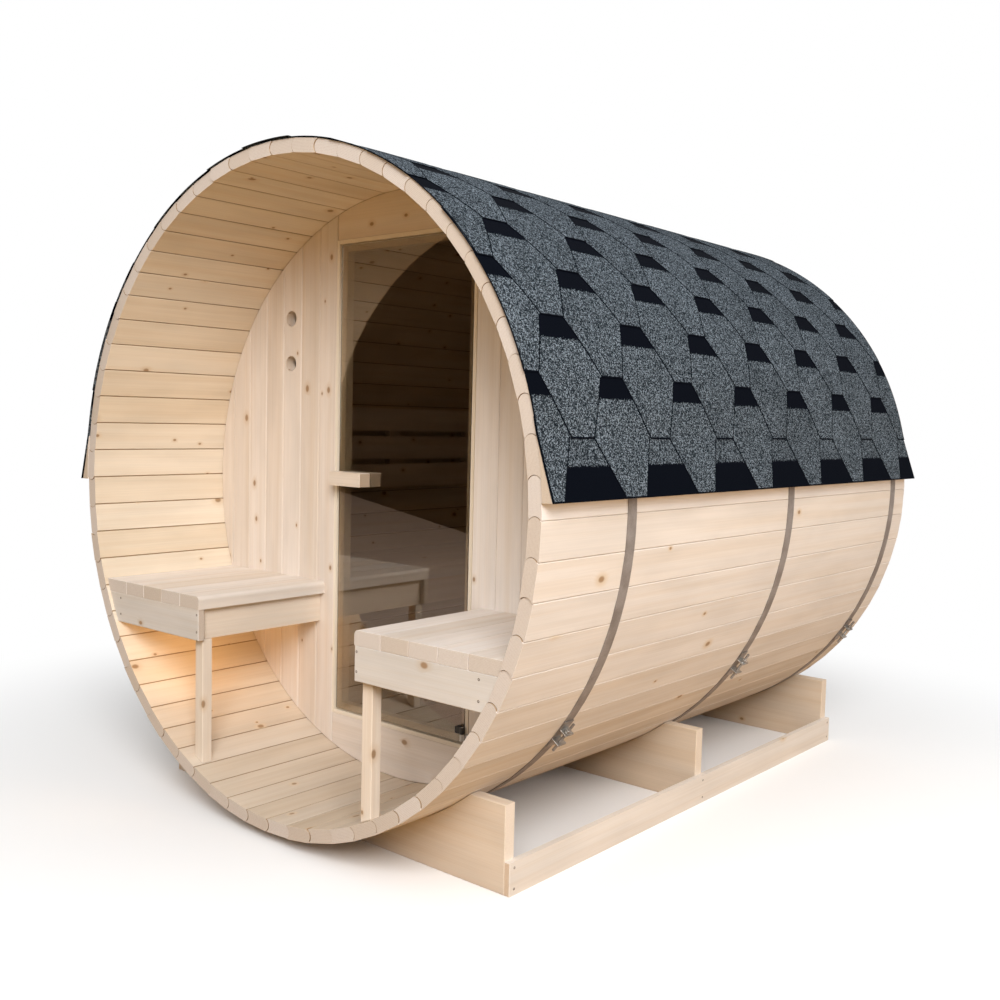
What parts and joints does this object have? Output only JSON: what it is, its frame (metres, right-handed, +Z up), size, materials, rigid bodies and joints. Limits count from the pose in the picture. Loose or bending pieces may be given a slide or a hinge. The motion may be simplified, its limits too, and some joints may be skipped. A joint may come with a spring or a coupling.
{
  "type": "barrel sauna with porch",
  "caption": "Outdoor sauna: a wooden stave barrel lying on cradle boards, shingled above, with an open porch with side benches and a tinted glass door that swings out.",
  "frame": {"origin": "on the ground under the middle of the barrel", "axes": "+Y along the barrel's axis from the porch to the rear wall, +X to the right seen from the porch side, +Z up"},
  "size_m": [1.974, 2.187, 1.9373],
  "materials": {
    "stave_wood": "planed",
    "wall_wood": "planed",
    "frame_wood": "planed",
    "door_glass": "bronze tinted",
    "handle_wood": "oiled",
    "zinc_steel": "zinc plated",
    "hinge_dark": "black",
    "seat_wood": "planed",
    "bench_wood": "planed",
    "shingle": "mineral granules",
    "lath_wood": "sawn",
    "band_steel": "brown grey",
    "cradle_wood": "sawn",
    "rail_wood": "sawn"
  },
  "bodies": {
    "sauna": {"staves_upper_right": "stave_wood", "staves_top_right": "stave_wood", "staves_top_left": "stave_wood", "staves_upper_left": "stave_wood", "staves_lower_left": "stave_wood", "staves_bottom_left": "stave_wood", "staves_bottom_right": "stave_wood", "staves_lower_right": "stave_wood", "front_wall_left": "wall_wood", "front_wall_right": "wall_wood", "front_wall_header": "wall_wood", "front_wall_sill": "wall_wood", "rear_wall": "wall_wood", "door_jambs": "frame_wood", "door_rails": "frame_wood", "hinge_leaves": "zinc_steel", "porch_seat_left": "seat_wood", "porch_seat_right": "seat_wood", "porch_front_boards": "bench_wood", "porch_side_boards": "bench_wood", "porch_legs": "bench_wood", "cabin_seat_left": "seat_wood", "cabin_seat_right": "seat_wood", "cabin_side_boards": "bench_wood", "cabin_backrest_left": "seat_wood", "cabin_backrest_right": "seat_wood", "roof_left_eave": "shingle", "roof_left_top": "shingle", "roof_right_top": "shingle", "roof_right_eave": "shingle", "eave_laths": "lath_wood", "steel_bands": "band_steel", "band_tensioners": "zinc_steel", "cradle_front": "cradle_wood", "cradle_middle": "cradle_wood", "cradle_rear": "cradle_wood", "side_rails": "rail_wood"},
    "door": {"door_glass": "door_glass", "door_handle": "handle_wood", "hinge_clamps": "hinge_dark"}
  },
  "joints": [
    {"name": "door_swing", "type": "hinge", "parent": "sauna", "child": "door", "pos_m": [0.292, -0.5965, 0.982], "axis": [0, 0, 1], "range_deg": [0, 90]}
  ]
}
